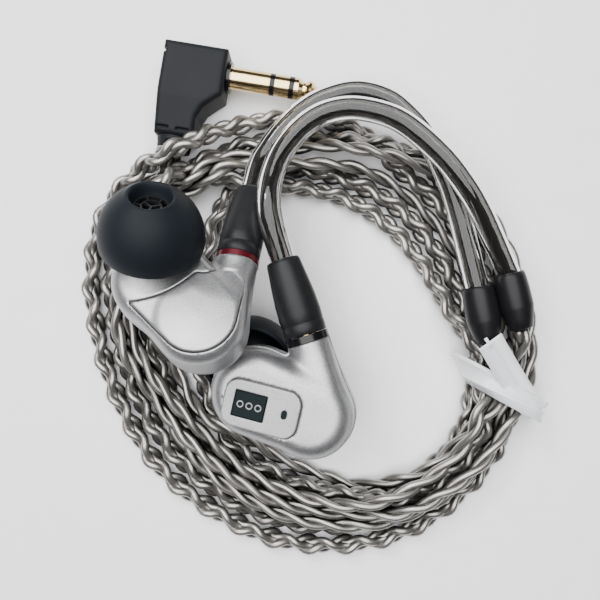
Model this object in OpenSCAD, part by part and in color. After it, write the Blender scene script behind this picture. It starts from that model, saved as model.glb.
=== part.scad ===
// In-ear monitors on a coiled cable, right-angle 3.5 mm plug. Millimetres, +Z up, lying on z = 0.

/* [Plug] */
// diameter of the jack contacts
jack_d = 3.5; // [2.5:0.1:6.4]
// shoulder to tip of the jack
jack_len = 14; // [10:0.5:30]
// length of the plug block along the jack
block_x = 10.7; // [8:0.1:16]
// width of the plug block across the jack
block_y = 8; // [6:0.1:12]
// height of the plug body
block_z = 7.9; // [6:0.1:12]
// length of the leg below the block
leg_len = 9.2; // [6:0.1:16]

/* [Cable coil] */
// height of the coiled bundle
coil_h = 7; // [4:0.5:12]
// thickness of the cable lead
lead_d = 3.2; // [2:0.1:5]
// thickness of a branch to one ear
branch_d = 2.1; // [1.4:0.1:3]

/* [Ear hooks] */
// outer diameter of the ear hook tube
hook_d = 3.6; // [2.4:0.1:5]
// bore of the ear hook tube
hook_bore = 2.3; // [1:0.1:3]
// diameter of the sleeve at the end of a hook
sleeve_d = 4.4; // [3.8:0.1:6]
// length of that sleeve
sleeve_len = 8.8; // [5:0.1:14]

/* [Connector] */
// length of a connector boot
boot_len = 11.3; // [8:0.1:16]
// boot diameter at the earpiece
boot_base_d = 6.3; // [5:0.1:8]
// boot diameter at the hook
boot_top_d = 4.4; // [3.8:0.1:6]
// socket bore in the earpiece
socket_d = 2.9; // [2:0.05:4]
// outside of the male barrel
barrel_d = 2.4; // [1.6:0.05:3.4]
// how deep the barrel goes into the socket
mate_len = 3; // [2:0.1:5]

/* [Shell] */
// shell thickness, outer face to inner face
shell_t = 8.7; // [7:0.1:12]
// radius of the front lobe, over the nozzle
lobe_a = 6.6; // [5:0.1:9]
// radius of the rear lobe
lobe_b = 6.2; // [5:0.1:9]
// diameter of the neck and the collar
neck_d = 6.4; // [5:0.1:8]
// wall thickness
wall = 0.8; // [0.5:0.05:1.5]
// badge plate length
badge_x = 11; // [8:0.1:14]
// badge plate width
badge_y = 6.8; // [4:0.1:9]

/* [Ear tip] */
// widest diameter of the ear tip
tip_d = 14.5; // [9:0.1:17]
// length of the ear tip
tip_len = 8.3; // [6:0.1:12]
// nozzle lip diameter
nozzle_d = 5.6; // [4:0.1:7]
// driver diameter
driver_d = 7; // [5:0.1:8]

/* [Hidden] */
$fn = 48;
e = 0.01;
origin_x = 4.2;
origin_y = 6.2;
// where each neck ends, and how each earpiece lies
neck_r = [-9.1, 5.1, 16.8];
yaw_r = -9.8;
pitch_r = -24;
roll_r = -6.8;
neck_l = [1.2, -6, 15.65];
yaw_l = 17.6;
pitch_l = -1;
roll_l = -8;
collar_r = 0.8;
collar_l = 1;
a_c = [-9.4, -4.7];
b_c = [-2.75, -10.1];
z_out = -4.5;
z_in = shell_t - 4.5;
noz_at = [-11, -1.6, 4.5];
noz_rx = -23;
noz_ry = 7;
badge_at = [-8.6, -6.8];
badge_turn = -31;
plug_at = [-11, 35.6, 4.4];
plug_turn = -9.3;
coil_c = [2, -5];
// outer and inner radius of the bundle every 30 degrees
coil_out = [36.5, 35, 34, 36.3, 37.5, 41.3, 36.6, 35, 35.6, 37.2, 38.7, 36.9];
coil_in = [22.5, 20.8, 20.4, 22, 22.5, 18.6, 17.7, 19.6, 21.8, 25.5, 28.8, 29.6];
tie_at = [31.3, -12.3];
tie_turn = -24;
split_a = [-26.6, 9.6, coil_h + 2.12];
split_b = [-22.2, 16.6, coil_h + 2.12];
split_dir = (split_b - split_a) / norm(split_b - split_a);
// points the ear hooks pass through, from boot to sleeve
hook_l = [[-4, 10.7, 16.4], [-4.5, 13.9, 16.3], [-4.2, 17.6, 15.1], [-2.8, 21.6, 13.9], [-0.1, 25.2, 13.2],
    [3.3, 27.6, 12.9], [7.4, 28.5, 12.9], [11.9, 27.8, 13], [15.6, 26.1, 13.2], [20.2, 22.3, 13.1],
    [23.7, 18.4, 12.7], [27.2, 13.3, 11.6]];
hook_r = [[-6.2, 20.6, 10], [-5.1, 23, 9.4], [-3.2, 26.2, 9.2], [0.2, 30, 9.2], [3.9, 32.2, 9.2],
    [8.6, 33.3, 9.2],
    [13.1, 32.1, 9.1], [16.2, 29.6, 9], [19.4, 25.7, 8.9], [22, 20.3, 8.9], [24, 14.9, 9]];
sleeve_l = [[32, 4.1, 9.25], [34, -4.5, 9.25]];
sleeve_r = [[27.2, 2.1, 9.25], [28.9, -6.4, 9.25]];

// ---- placing
module row() translate([-origin_x, -origin_y, 0]) children();
module at_right() row() translate(neck_r) rotate([0, 0, yaw_r]) rotate([pitch_r, 0, 0])
    rotate([0, roll_r, 0]) children();
module at_left() row() translate(neck_l) rotate([0, 0, yaw_l]) rotate([pitch_l, 0, 0])
    rotate([0, roll_l, 0])
    mirror([0, 0, 1]) children();
module along_y() rotate([-90, 0, 0]) children();
module at_nozzle() translate(noz_at) rotate([noz_rx, noz_ry, 0]) children();
module at_driver() translate([-10.3, -4.3, -0.35]) rotate([noz_rx, noz_ry, 0]) children();
module at_plug() row() translate(plug_at) rotate([0, 0, plug_turn]) children();
module at_badge() translate([badge_at[0], badge_at[1], 0]) rotate([0, 0, badge_turn]) children();

// ---- tubes along a route
function unit(v) = v / norm(v);
function tangent(p, i) = i == 0 ? unit(p[1] - p[0]) : i == len(p) - 1 ? unit(p[i] - p[i - 1])
    : unit(unit(p[i + 1] - p[i]) + unit(p[i] - p[i - 1]));
function ring(c, t, r, n) = let (u = unit(cross(t, [0, 0, 1])), v = cross(u, t))
    [for (k = [0:n - 1]) c + r * (cos(360 * k / n) * u + sin(360 * k / n) * v)];
function rounded(a, b, c, d, t) = 0.5 * ((2 * b) + (c - a) * t + (2 * a - 5 * b + 4 * c - d) * t * t
    + (3 * b - a - 3 * c + d) * t * t * t);
function curve(p, m) = let (n = len(p)) concat([for (i = [0:n - 2], j = [0:m - 1])
    rounded(p[max(i - 1, 0)], p[i], p[i + 1], p[min(i + 2, n - 1)], j / m)], [p[n - 1]]);
module rod(p, r, n) {
    m = len(p);
    pts = [for (i = [0:m - 1]) each ring(p[i], tangent(p, i), r, n)];
    polyhedron(pts, concat([[for (k = [0:n - 1]) n - 1 - k]], [[for (k = [0:n - 1]) (m - 1) * n + k]],
        [for (i = [0:m - 2], k = [0:n - 1]) let (a = i * n + k, b = i * n + (k + 1) % n) [a, b, b + n]],
        [for (i = [0:m - 2], k = [0:n - 1]) let (a = i * n + k, b = i * n + (k + 1) % n)
            [a, b + n, a + n]]));
}
module pipe(p, r, q, n) {
    m = len(p);
    s = m * n;
    pts = concat([for (i = [0:m - 1]) each ring(p[i], tangent(p, i), r, n)],
        [for (i = [0:m - 1]) each ring(p[i], tangent(p, i), q, n)]);
    polyhedron(pts, concat(
        [for (i = [0:m - 2], k = [0:n - 1]) let (a = i * n + k, b = i * n + (k + 1) % n) [a, b, b + n]],
        [for (i = [0:m - 2], k = [0:n - 1]) let (a = i * n + k, b = i * n + (k + 1) % n) [a, b + n, a + n]],
        [for (i = [0:m - 2], k = [0:n - 1]) let (a = s + i * n + k, b = s + i * n + (k + 1) % n)
            [a, b + n, b]],
        [for (i = [0:m - 2], k = [0:n - 1]) let (a = s + i * n + k, b = s + i * n + (k + 1) % n)
            [a, a + n, b + n]],
        [for (k = [0:n - 1]) let (a = k, b = (k + 1) % n) [a, s + a, s + b]],
        [for (k = [0:n - 1]) let (a = k, b = (k + 1) % n) [a, s + b, b]],
        [for (k = [0:n - 1]) let (a = (m - 1) * n + k, b = (m - 1) * n + (k + 1) % n) [a, b, s + b]],
        [for (k = [0:n - 1]) let (a = (m - 1) * n + k, b = (m - 1) * n + (k + 1) % n) [a, s + b, s + a]]));
}
// a turned piece standing on the line from a to b
module stand(a, b) {
    d = b - a;
    translate(a) rotate([0, acos(d[2] / norm(d)), atan2(d[1], d[0])]) children();
}

// ---- plug, drawn with the jack along +x from the shoulder at x = 0
module plug_body() color("dimgray") at_plug() difference() {
    union() {
        translate([0, 0, -4.1]) hull() {
            for (x = [-block_x + 1, -1.6], y = [-block_y + 4.6, 2.5])
                translate([x, y, 0.5]) cylinder(r = 1, h = block_z - 1);
            for (x = [-block_x + 1, -1.6], y = [-block_y + 4.6, 2.5])
                translate([x, y, 0]) cylinder(r = 0.5, h = block_z);
        }
        translate([0, 0, -4.1]) hull() {
            for (x = [-block_x + 1.1, -3.8]) translate([x, -block_y + 5, 0.4])
                cylinder(r = 1, h = block_z - 0.8);
            for (x = [-block_x + 1.5, -5.9]) translate([x, -10, 0.7]) cylinder(r = 1, h = block_z - 1.9);
        }
    }
    translate([-5, 0, 0]) rotate([0, 90, 0]) cylinder(r = 1.3, h = 8);
    translate([-7.3, -14, 0]) rotate([-90, 0, 0]) cylinder(r = 1.9, h = 9);
}
module plug_strain_relief() color("dimgray") at_plug() difference() {
    translate([-7.3, -13.2, 0]) rotate([-90, 0, 0]) cylinder(r1 = 2.6, r2 = 2.9, h = 2.15);
    translate([-7.3, -14, 0]) rotate([-90, 0, 0]) cylinder(r = 1.9, h = 6);
    for (a = [0, 90, 180, 270]) translate([-7.3, -12.2, 0]) rotate([0, a, 0]) translate([2.2, 0, -1])
        cube([1, 0.5, 2]);
}
module plug_flange() color("black") at_plug() rotate([0, 90, 0]) difference() {
    translate([0, 0, -0.58]) cylinder(r = 2.45, h = 0.58);
    translate([0, 0, -1]) cylinder(r = 1.32, h = 2);
}
module plug_sleeve_contact() color("gold") at_plug() rotate([0, 90, 0]) difference() {
    union() {
        cylinder(r = jack_d / 2, h = 6.3);
        translate([0, 0, -3]) cylinder(r = 1.28, h = 3.2);
    }
    translate([0, 0, -4]) cylinder(r = 1, h = 12);
}
module plug_ring_contact() color("gold") at_plug() rotate([0, 90, 0]) difference() {
    translate([0, 0, 7.1]) cylinder(r = jack_d / 2, h = 2.3);
    translate([0, 0, 7]) cylinder(r = 0.8, h = 3);
}
module plug_tip_contact() color("gold") at_plug() rotate([0, 90, 0]) rotate_extrude()
    polygon([[0, -3.4], [0.5, -3.4],
    [0.5, 10.2], [jack_d / 2, 10.2], [jack_d / 2, 10.9], [1.2, 11.6], [1.2, 12], [1.62, 12.6],
        [1.5, 13], [0.7, jack_len - 0.2],
    [0.3, jack_len], [0, jack_len]]);
module plug_insulators() color("black") at_plug() rotate([0, 90, 0]) difference() {
    union() {
        translate([0, 0, 6.3]) cylinder(r = jack_d / 2, h = 0.8);
        translate([0, 0, 9.4]) cylinder(r = jack_d / 2, h = 0.8);
        translate([0, 0, -3.2]) cylinder(r = 0.8, h = 12.6);
        translate([0, 0, -3.2]) cylinder(r = 1, h = 9.6);
    }
    translate([0, 0, -4]) cylinder(r = 0.5, h = 20);
}

// ---- cable
function wrap(a, i) = a[(i + 12) % 12];
function radius(a, deg) = let (k = floor(deg / 30), t = deg / 30 - k)
    rounded(wrap(a, k - 1), wrap(a, k), wrap(a, k + 1), wrap(a, k + 2), t);
module loop2d(a) polygon([for (d = [0:5:355]) radius(a, d) * [cos(d), sin(d)]]);
module cable_coil() color("silver") difference() {
    row() translate([coil_c[0], coil_c[1], 0]) linear_extrude(coil_h) difference() {
        loop2d(coil_out);
        loop2d(coil_in);
    }
    // waist under the tie
    row() translate([tie_at[0], tie_at[1], 0]) rotate([0, 0, tie_turn]) difference() {
        translate([-8, -2.6, -1]) cube([16, 5.2, coil_h + 2]);
        translate([-3.3, -3, 0.6]) cube([6.6, 6, coil_h - 1.2]);
    }
    // room for the plug's leg and for a socket on the jack
    at_plug() translate([-11.6, -13.45, -6]) cube([9.6, 12, 12]);
    at_plug() translate([-1, -3.1, -6]) cube([17, 6.2, 12]);
}
module cable_plug_lead() color("silver") row() rod([[-20, 25.8, 4.4], [-20.35, 23.6, 4.4]], lead_d / 2, 8);
module cable_main_lead() color("silver") row() rod(concat([split_b + 0.15 * split_dir],
    curve([split_b + 0.8 * split_dir,
    [-20.9, 18.5, coil_h + 1.9], [-19.4, 20.6, coil_h + 1.52]], 3)), 1.5, 8);
// the two branches leave the splitter side by side
module split_branch(side, mid, end) row() color("silver") rod(concat(
    [split_a + side - 0.15 * split_dir], curve([split_a + side - 0.7 * split_dir, mid, end], 3)),
        branch_d / 2, 8);
module cable_split_left() split_branch([0.92, -0.58, 0], [-27, 7, coil_h + 1.7], [-28.1, 5, coil_h + 1.07]);
module cable_split_right() split_branch([-0.92, 0.58, 0], [-28.9, 8.1, coil_h + 1.7],
    [-30, 6, coil_h + 1.07]);
module cable_branch(p) color("silver") row() rod(curve(p, 3), branch_d / 2, 8);
module cable_branch_left() cable_branch([sleeve_l[1], [34.2, -6, 9.1], [34.1, -7.6, 8.3]]);
module cable_branch_right() cable_branch([sleeve_r[1], [29.05, -7.1, 9.15], [29.2, -7.7, 8.9]]);
module y_splitter() color("dimgray") row() stand(split_a, split_b) rotate_extrude()
    polygon([[0, 0], [2, 0], [2.1, 0.4],
    [2.1, 6.6], [1.7, norm(split_b - split_a)], [0, norm(split_b - split_a)]]);
module tie_strap() color("white") {
    row() translate([tie_at[0], tie_at[1], 0]) rotate([0, 0, tie_turn]) translate([0, -2.2, 0])
        difference() {
        translate([-3.75, 0, 0.05]) cube([7.5, 4.4, coil_h + 0.06]);
        translate([-3.35, -1, 0.5]) cube([6.7, 7, coil_h - 0.85]);
    }
    at_tail() cube([8.6, 4.2, 0.5]);
}
// the loose end of the tie, lying across the band
module at_tail() row() translate([27.4, -9.4, coil_h + 0.1]) rotate([0, 0, -54]) children();
module tie_wire() color("white") at_tail() translate([0.5, 1.8, 0.51]) cube([8, 0.8, 0.5]);

// ---- ear hooks
function boot_top(n, yaw, pitch, roll, y) = n + y * [-sin(yaw) * cos(pitch), cos(yaw) * cos(pitch),
    sin(pitch)];
top_r = boot_top(neck_r, yaw_r, pitch_r, roll_r, collar_r + 0.1 + boot_len);
top_l = boot_top(neck_l, yaw_l, pitch_l, roll_l, collar_l + 0.1 + boot_len);
low_r = boot_top(neck_r, yaw_r, pitch_r, roll_r, collar_r + 0.1 + boot_len - 4);
low_l = boot_top(neck_l, yaw_l, pitch_l, roll_l, collar_l + 0.1 + boot_len - 4);
path_r = concat([low_r], curve(concat([top_r], hook_r, [sleeve_r[0]]), 2),
    [sleeve_r[0] * 0.6 + sleeve_r[1] * 0.4]);
path_l = concat([low_l], curve(concat([top_l], hook_l, [sleeve_l[0]]), 2),
    [sleeve_l[0] * 0.6 + sleeve_l[1] * 0.4]);
module hook_tube(p) color("gray") row() pipe(p, hook_d / 2, hook_bore / 2, 12);
module hook_core(p) color("darkslategray") row() rod(p, hook_bore / 2 - 0.15, 8);
module hook_sleeve(s) color("black") row() stand(s[0], s[1]) difference() {
    rotate_extrude() polygon([[0, 0], [1.95, 0], [2.05, 0.3], [sleeve_d / 2, 1.2],
        [sleeve_d / 2, sleeve_len - 0.5],
        [sleeve_d / 2 - 0.4, sleeve_len], [0, sleeve_len]]);
    translate([0, 0, -1]) cylinder(r = hook_d / 2 + 0.03, h = 1 + 4);
    translate([0, 0, 3]) cylinder(r = branch_d / 2 + 0.03, h = 10);
}

// ---- connector, drawn along +y from the end of the neck
module boot(c) color("black") translate([0, c + 0.1, 0]) along_y() difference() {
    rotate_extrude() polygon([[0, 0], [boot_base_d / 2 - 0.1, 0], [boot_base_d / 2, 0.15],
        [boot_base_d / 2 - 0.02, 0.9],
        [2.98, 2.6], [2.72, 4.8], [2.48, 6.8], [2.32, 8.6], [boot_top_d / 2, boot_len - 0.3],
            [boot_top_d / 2 - 0.15, boot_len],
        [0, boot_len]]);
    translate([0, 0, -1]) cylinder(r = barrel_d / 2 + 0.02, h = 3);
    translate([0, 0, 1.4]) cylinder(r = 2.02, h = 3.6);
    translate([0, 0, 4.9]) cylinder(r = 1.2, h = 4);
    translate([0, 0, boot_len - 4.1]) cylinder(r = hook_d / 2 + 0.03, h = 5);
}
module barrel(c) color("gold") along_y() difference() {
    union() {
        translate([0, 0, -mate_len]) cylinder(r = barrel_d / 2, h = mate_len + c + 1.7);
        translate([0, 0, c + 1.6]) cylinder(r = 2, h = 1.4);
    }
    translate([0, 0, -mate_len - 1]) cylinder(r = 0.75, h = 10);
    translate([0, 0, -2.25]) difference() {
        cylinder(r = 2, h = 0.5);
        translate([0, 0, -1]) cylinder(r = 0.95, h = 2);
    }
}
module pin(c) color("gold") along_y() union() {
    translate([0, 0, -mate_len + 0.5]) cylinder(r = 0.25, h = mate_len + c + 4);
    translate([0, 0, c]) cylinder(r = 0.73, h = 2.8);
}
module snap_ring() color("silver") along_y() translate([0, 0, -2.2]) difference() {
    cylinder(r = 1.38, h = 0.4);
    translate([0, 0, -1]) cylinder(r = 1.05, h = 3);
    translate([0, -0.3, -1]) cube([3, 0.6, 3]);
}
module collar(c, colour) color(colour) along_y() difference() {
    cylinder(r = neck_d / 2, h = c);
    translate([0, 0, -1]) cylinder(r = 2.22, h = 3);
}
module socket(c) color("gold") along_y() difference() {
    translate([0, 0, -4.6]) cylinder(r = 2.2, h = 4.6 + c);
    translate([0, 0, -3.6]) difference() {
        cylinder(r = socket_d / 2, h = 10);
        translate([0, 0, -1]) cylinder(r = 0.55, h = 3.6);
    }
    translate([0, 0, -3.8]) cylinder(r = 0.32, h = 10);
}

// ---- shell, outer face down, ear side up, neck along +y
// rims of the two lobes from the widest line down to the flat: shrink in plan, depth
module lobe(c, r, z, ep, ez, up) for (k = [1:5]) translate([c[0], c[1],
    up * (z - ez + ez * sin(18 * k)) - (up > 0 ? e : 0)])
    cylinder(r = r - ep * (1 - cos(18 * k)), h = e, $fn = 40);
module waist(c, r, lo, hi) translate([c[0], c[1], lo]) cylinder(r = r, h = hi - lo, $fn = 40);
module pebble(g, zo, zi, rn) {
    hull() {
        lobe(a_c, lobe_a - g, zo, 2.6, 2.9, -1);
        lobe(b_c, lobe_b - g, zo, 2.6, 2.9, -1);
        lobe(a_c, lobe_a - g, zi, 1.4, 1.5, 1);
        lobe(b_c, lobe_b - g, zi, 1.2, 1.5, 1);
        waist(a_c, lobe_a - g, 2.9 - zo, zi - 1.5);
        waist(b_c, lobe_b - g, 2.9 - zo, zi - 1.5);
    }
    hull() {
        lobe(b_c, lobe_b - g, zo, 2.6, 2.9, -1);
        lobe(b_c, lobe_b - g, zi, 1.2, 1.5, 1);
        waist(b_c, lobe_b - g, 2.9 - zo, zi - 1.5);
        along_y() translate([0, 0, -1.4]) cylinder(r = rn, h = 1.4, $fn = 40);
    }
}
module nozzle_rise(g) hull() {
    lobe(a_c, lobe_a - g - 0.6, z_in - 0.3 - g, 1.2, 1.2, 1);
    waist(a_c, lobe_a - g - 0.6, 1, z_in - 1.5 - g);
    at_nozzle() translate([0, 0, -0.6]) cylinder(r = 3.6 - g, h = 0.5, $fn = 40);
}
module panel2d(g) difference() {
    union() {
        hull() {
            translate(a_c) circle(r = lobe_a - 0.95 - g);
            translate(b_c) circle(r = lobe_b - 0.95 - g);
        }
        hull() {
            translate(b_c) circle(r = lobe_b - 0.95 - g);
            translate([-1.6 + g, -3.6]) square([4.2 - 2 * g, 1 - g]);
        }
    }
    translate([-14.6, 2.6]) circle(r = 12.3 + g);
    translate([-3.6, -1.9]) circle(r = 2.1 + g);
}
module half(up) translate([-30, -30, up > 0 ? 0 : -20]) cube([60, 60, 20]);
module shell_outer() color("silver") difference() {
    intersection() {
        pebble(0, -z_out, z_in, neck_d / 2);
        half(-1);
    }
    pebble(wall, -z_out - 1.15, z_in - wall, 2.22);
    along_y() translate([0, 0, -5]) cylinder(r = 2.22, h = 6);
    at_badge() translate([0, 0, z_out - 1]) linear_extrude(1.63) plate2d(0.03);
    at_badge() translate([3.4, 0, -6]) cylinder(r = 0.6, h = 4);
}
module shell_inner() color("silver") difference() {
    union() {
        intersection() {
            pebble(0, -z_out, z_in, neck_d / 2);
            half(1);
        }
        nozzle_rise(0);
    }
    difference() {
        pebble(wall, -z_out - 1.15, z_in - wall - 0.55, 2.22);
        translate([-30, -30, -20]) cube([60, 60, 19.9]);
    }
    along_y() translate([0, 0, -5]) cylinder(r = 2.22, h = 6);
    at_nozzle() translate([0, 0, -6]) cylinder(r = 2.62, h = 8);
    translate([0, 0, z_in - 0.95]) linear_extrude(3) panel2d(-0.1);
}
module panel() color("silver") translate([0, 0, z_in - 0.93]) difference() {
    union() {
        linear_extrude(0.93) panel2d(0);
        linear_extrude(1.15) panel2d(0.25);
    }
}
module plate2d(g) hull() for (x = [-1, 1], y = [-1, 1])
    translate([x * (badge_x / 2 - 2), y * (badge_y / 2 - 2)]) circle(r = 2 + g);
module badge() color("silver") at_badge() difference() {
    translate([0, 0, z_out - 0.35]) linear_extrude(0.95) plate2d(0);
    translate([-1.65 - 2.33, -1.88, z_out - 1]) cube([4.66, 3.76, 1]);
    hull() for (y = [-0.25, 0.25]) translate([3.4, y, -6]) cylinder(r = 0.38, h = 4);
}
module badge_tile() color("black") at_badge() difference() {
    translate([-1.65 - 2.3, -1.85, z_out - 0.37]) cube([4.6, 3.7, 0.37]);
    for (x = [-1.3, 0, 1.3]) translate([-1.65 + x, 0, z_out - 0.37]) linear_extrude(0.15, center = true)
        difference() {
        circle(r = 0.45);
        circle(r = 0.22);
    }
}
module nozzle() color("silver") at_nozzle() difference() {
    union() {
        translate([0, 0, -1.6]) cylinder(r = 2.6, h = 6.4);
        translate([0, 0, 3.6]) cylinder(r = nozzle_d / 2, h = 0.9);
    }
    translate([0, 0, -2]) cylinder(r = 1.9, h = 8);
    translate([0, 0, 4.3]) cylinder(r = 2.2, h = 2);
}
module nozzle_filter() color("black") at_nozzle() difference() {
    translate([0, 0, 4.32]) cylinder(r = 2.17, h = 0.3);
    for (a = [0:60:300]) rotate([0, 0, a]) translate([1.2, 0, 4]) cylinder(r = 0.42, h = 1);
    translate([0, 0, 4]) cylinder(r = 0.42, h = 1);
}
module driver_frame() color("dimgray") at_driver() difference() {
    translate([0, 0, -0.9]) cylinder(r = driver_d / 2, h = 2.1);
    translate([0, 0, -1.5]) cylinder(r = 2.32, h = 2);
    translate([0, 0, 0.4]) cylinder(r = 2.9, h = 0.6);
    translate([0, 0, 0]) cylinder(r = 2, h = 3);
}
module driver_magnet() color("gray") at_driver() difference() {
    translate([0, 0, -1.7]) cylinder(r = 2.3, h = 1.7);
    translate([0, 0, -1]) difference() {
        cylinder(r = 1.85, h = 3);
        translate([0, 0, -1]) cylinder(r = 1.35, h = 5);
    }
}
module driver_coil() color("orange") at_driver() union() {
    difference() {
        translate([0, 0, -0.8]) cylinder(r = 1.7, h = 1.3);
        translate([0, 0, -1]) cylinder(r = 1.5, h = 3);
    }
    difference() {
        translate([0, 0, 0.5]) cylinder(r = 2.85, h = 0.12);
        translate([0, 0, 0]) cylinder(r = 1.5, h = 0.55);
    }
}
module ear_tip() color("darkslategray") at_nozzle() {
    rotate_extrude() {
        polygon(concat([[2.95, 1.1], [3.7, 1.1], [3.7, 6.9], [4.1, 7.2], [5, 6.6], [5.9, 5.4],
            [6.35, 4.1], [6.55, 2.6], [6.4, 1]],
            [for (k = [0:9]) let (s = 1 + 1.5 * k / 9) [tip_d / 2 - 0.15 * pow((2.5 - s) / 1.5, 2), s]],
            [for (k = [1:12]) [tip_d / 2 * cos(5.1 * k), 2.5 + 7.4 * sin(5.1 * k)]],
            [[3.2, tip_len + 0.93], [2.95, tip_len + 0.8], [2.65, 8.3], [2.5, 7.55], [2.5, 6.95],
                [2.95, 6.95]]));
    }
}
module tip_grid() color("black") at_nozzle() translate([0, 0, 6.98]) difference() {
    cylinder(r = 2.46, h = 0.5);
    difference() {
        translate([0, 0, -1]) cylinder(r = 2.15, h = 3);
        translate([0, 0, -2]) cylinder(r = 1.45, h = 5);
        for (a = [0:60:300]) rotate([0, 0, a]) translate([0, -0.13, -2]) cube([3, 0.26, 5]);
    }
    difference() {
        translate([0, 0, -1]) cylinder(r = 1.2, h = 3);
        for (a = [30, 150, 270]) rotate([0, 0, a]) translate([0, -0.13, -2]) cube([3, 0.26, 5]);
    }
}

module hook_tube_right() hook_tube(path_r);
module hook_tube_left() hook_tube(path_l);
module hook_core_right() hook_core(path_r);
module hook_core_left() hook_core(path_l);
module hook_sleeve_right() hook_sleeve(sleeve_r);
module hook_sleeve_left() hook_sleeve(sleeve_l);

plug_body();
plug_strain_relief();
plug_flange();
plug_sleeve_contact();
plug_ring_contact();
plug_tip_contact();
plug_insulators();
cable_coil();
cable_plug_lead();
cable_main_lead();
cable_split_left();
cable_split_right();
cable_branch_left();
cable_branch_right();
y_splitter();
tie_strap();
tie_wire();
hook_tube_right();
hook_core_right();
hook_sleeve_right();
at_right() boot(collar_r);  // boot_right
at_right() barrel(collar_r);  // barrel_right
at_right() pin(collar_r);  // pin_right
hook_tube_left();
hook_core_left();
hook_sleeve_left();
at_left() boot(collar_l);  // boot_left
at_left() barrel(collar_l);  // barrel_left
at_left() pin(collar_l);  // pin_left
at_right() snap_ring();  // snap_ring_right
at_left() snap_ring();  // snap_ring_left
at_right() collar(collar_r, "darkred");  // collar_right
at_right() socket(collar_r);  // socket_right
at_right() shell_outer();  // shell_outer_right
at_right() shell_inner();  // shell_inner_right
at_right() panel();  // panel_right
at_right() badge();  // badge_right
at_right() badge_tile();  // badge_tile_right
at_right() nozzle();  // nozzle_right
at_right() nozzle_filter();  // nozzle_filter_right
at_right() driver_frame();  // driver_frame_right
at_right() driver_magnet();  // driver_magnet_right
at_right() driver_coil();  // driver_coil_right
at_right() ear_tip();  // ear_tip_right
at_right() tip_grid();  // tip_grid_right
at_left() collar(collar_l, "black");  // collar_left
at_left() socket(collar_l);  // socket_left
at_left() shell_outer();  // shell_outer_left
at_left() shell_inner();  // shell_inner_left
at_left() panel();  // panel_left
at_left() badge();  // badge_left
at_left() badge_tile();  // badge_tile_left
at_left() nozzle();  // nozzle_left
at_left() nozzle_filter();  // nozzle_filter_left
at_left() driver_frame();  // driver_frame_left
at_left() driver_magnet();  // driver_magnet_left
at_left() driver_coil();  // driver_coil_left
at_left() ear_tip();  // ear_tip_left
at_left() tip_grid();  // tip_grid_left
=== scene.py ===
"""In-ear monitors lying in their coiled, braided cable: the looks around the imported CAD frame."""
import math
import bpy
import numpy as np
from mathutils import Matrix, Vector


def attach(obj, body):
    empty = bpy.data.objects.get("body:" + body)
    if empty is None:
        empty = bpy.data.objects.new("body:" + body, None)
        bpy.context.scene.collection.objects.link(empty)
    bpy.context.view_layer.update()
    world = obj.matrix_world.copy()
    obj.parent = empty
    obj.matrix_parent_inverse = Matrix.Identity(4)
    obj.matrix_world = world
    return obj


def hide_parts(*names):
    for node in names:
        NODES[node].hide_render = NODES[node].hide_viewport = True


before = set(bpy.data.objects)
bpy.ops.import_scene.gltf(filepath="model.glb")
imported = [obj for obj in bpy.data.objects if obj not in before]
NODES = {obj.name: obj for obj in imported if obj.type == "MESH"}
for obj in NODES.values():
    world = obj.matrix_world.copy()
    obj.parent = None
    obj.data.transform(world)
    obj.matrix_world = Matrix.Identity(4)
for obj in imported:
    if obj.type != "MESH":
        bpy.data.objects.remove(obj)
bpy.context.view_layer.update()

MM = 0.001
ORIGIN = np.array([4.2, 6.2, 0.0])  # the row frame's origin, in the layout's own millimetres

# ---------------------------------------------------------------- layout, in millimetres
# each earpiece's connector face, and how the earpiece lies: yaw, pitch, roll in degrees
NECK = {"right": (-9.1, 5.1, 16.8), "left": (1.2, -6.0, 15.65)}
TURN = {"right": (-9.8, -24.0, -6.8), "left": (17.6, -1.0, -8.0)}
RING = np.array([2.0, -5.0])  # centre of the coil
PLUG_AT, PLUG_TURN = (-11.0, 35.6, 4.4), -9.3  # centre of the plug's shoulder, yaw in degrees
TIE_AT, TIE_TURN = np.array([32.3, -14.4]), -28  # the tie's place on the table, yaw in degrees
# that turn in round figures, for the cords: columns are along the band and across it
TIE_AXES = np.array([[0.883, 0.469], [-0.469, 0.883]])
SPLIT = np.array([[-26.6, 9.6, 9.12], [-22.2, 16.6, 9.12]])  # the Y splitter, branch end first
# the ear hooks' middle lines from the boots to the sleeves
HOOK = {
    "left": [[-4, 10.7, 16.4], [-4.5, 13.9, 16.3], [-4.2, 17.6, 15.1], [-2.8, 21.6, 13.9],
             [-0.1, 25.2, 13.2], [3.3, 27.6, 12.9], [7.4, 28.5, 12.9], [11.9, 27.8, 13],
             [15.6, 26.1, 13.2], [20.2, 22.3, 13.1], [23.7, 18.4, 12.7], [27.2, 13.3, 11.6]],
    "right": [[-6.2, 20.6, 10], [-4.9, 23, 9.4], [-2.7, 26.0, 9.2], [0.7, 29.2, 9.2],
              [4.4, 31.2, 9.2], [8.8, 32.1, 9.2], [13.1, 31.1, 9.1], [16.1, 29.0, 9],
              [19.3, 25.4, 8.9], [22, 20.2, 8.9], [24, 14.9, 9]],
}
# the sleeves on the hooks' ends, from the hook to the cord
SLEEVE = {"left": np.array([[32, 4.1, 9.25], [34, -4.5, 9.25]]),
          "right": np.array([[27.2, 2.1, 9.25], [28.9, -6.4, 9.25]])}
COLLAR = {"right": 0.8, "left": 1.0}  # thickness of the collar ring
COLLAR_GAP = 0.1
BOOT_LEN = 11.3
HOOK_R, SLEEVE_R = 1.8, 2.2
CAMERA_UP, LENS, SENSOR = 118, 42.48, 36


def unit(v):
    """The vector, or each row of an array of them, one long."""
    return v / np.maximum(np.linalg.norm(v, axis=-1, keepdims=True), 1e-12)


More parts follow.
